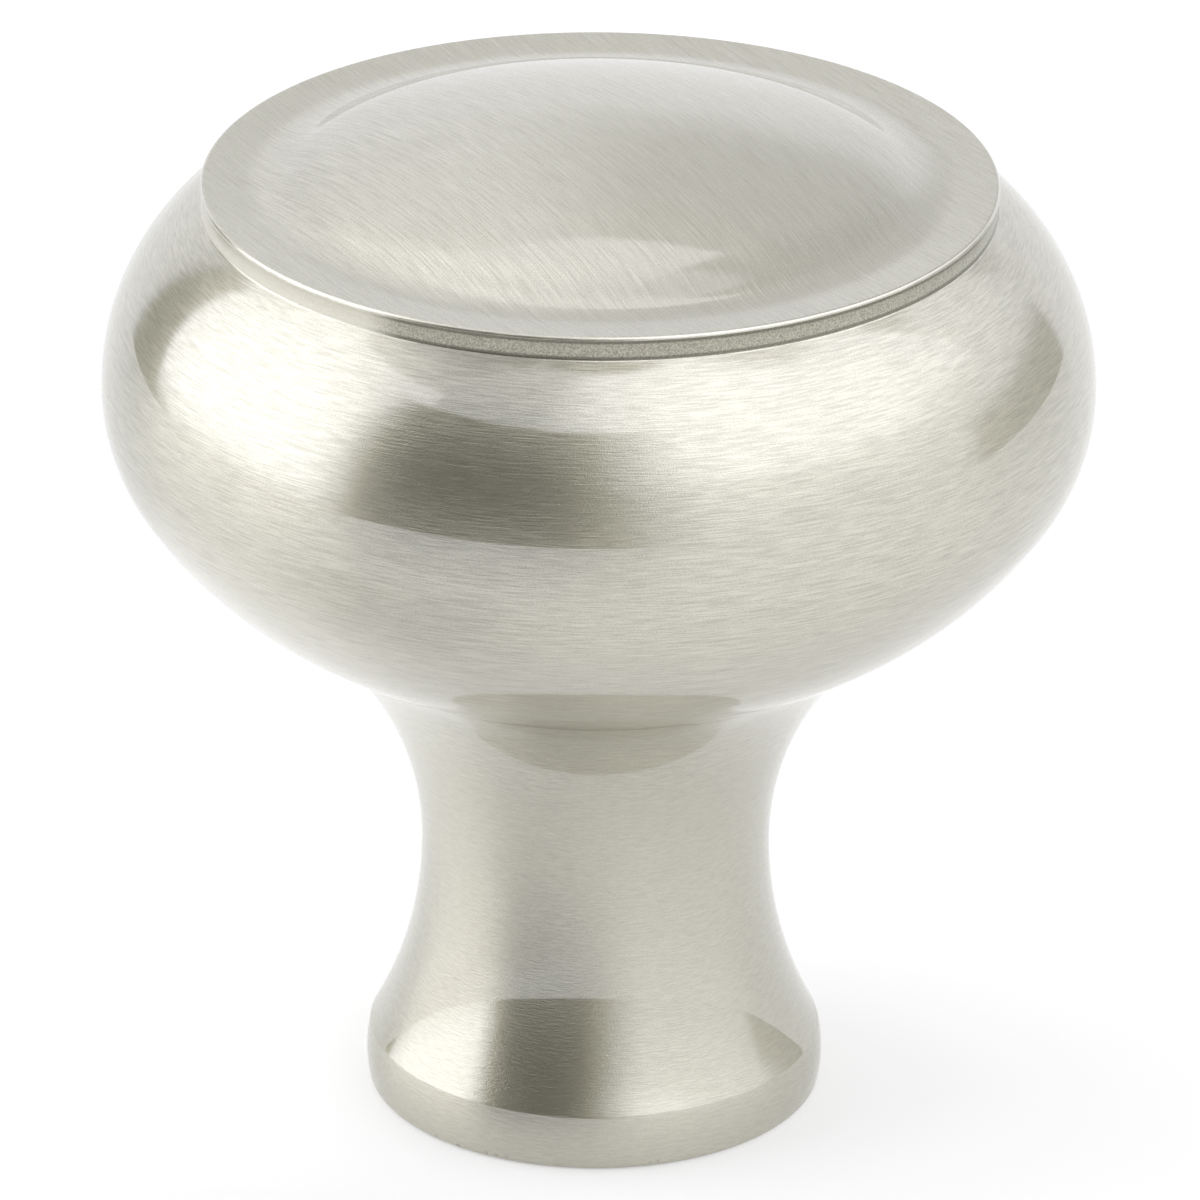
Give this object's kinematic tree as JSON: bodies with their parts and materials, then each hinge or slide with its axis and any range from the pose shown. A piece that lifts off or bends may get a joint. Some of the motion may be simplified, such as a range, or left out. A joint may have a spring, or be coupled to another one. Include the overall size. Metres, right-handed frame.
{
  "type": "cabinet knob",
  "caption": "Round cabinet knob in satin metal: domed, rimmed head with a bulging side on a waisted stem and round foot, screwed on from behind.",
  "frame": {"origin": "centre of the foot's mounting face", "axes": "+Z along the knob's axis, out of the cabinet front towards the head"},
  "size_m": [0.0318, 0.0318, 0.0334],
  "materials": {
    "satin_nickel": "brushed nickel plate under clear lacquer"
  },
  "bodies": {
    "root": {"knob_body": "satin_nickel"}
  },
  "joints": []
}
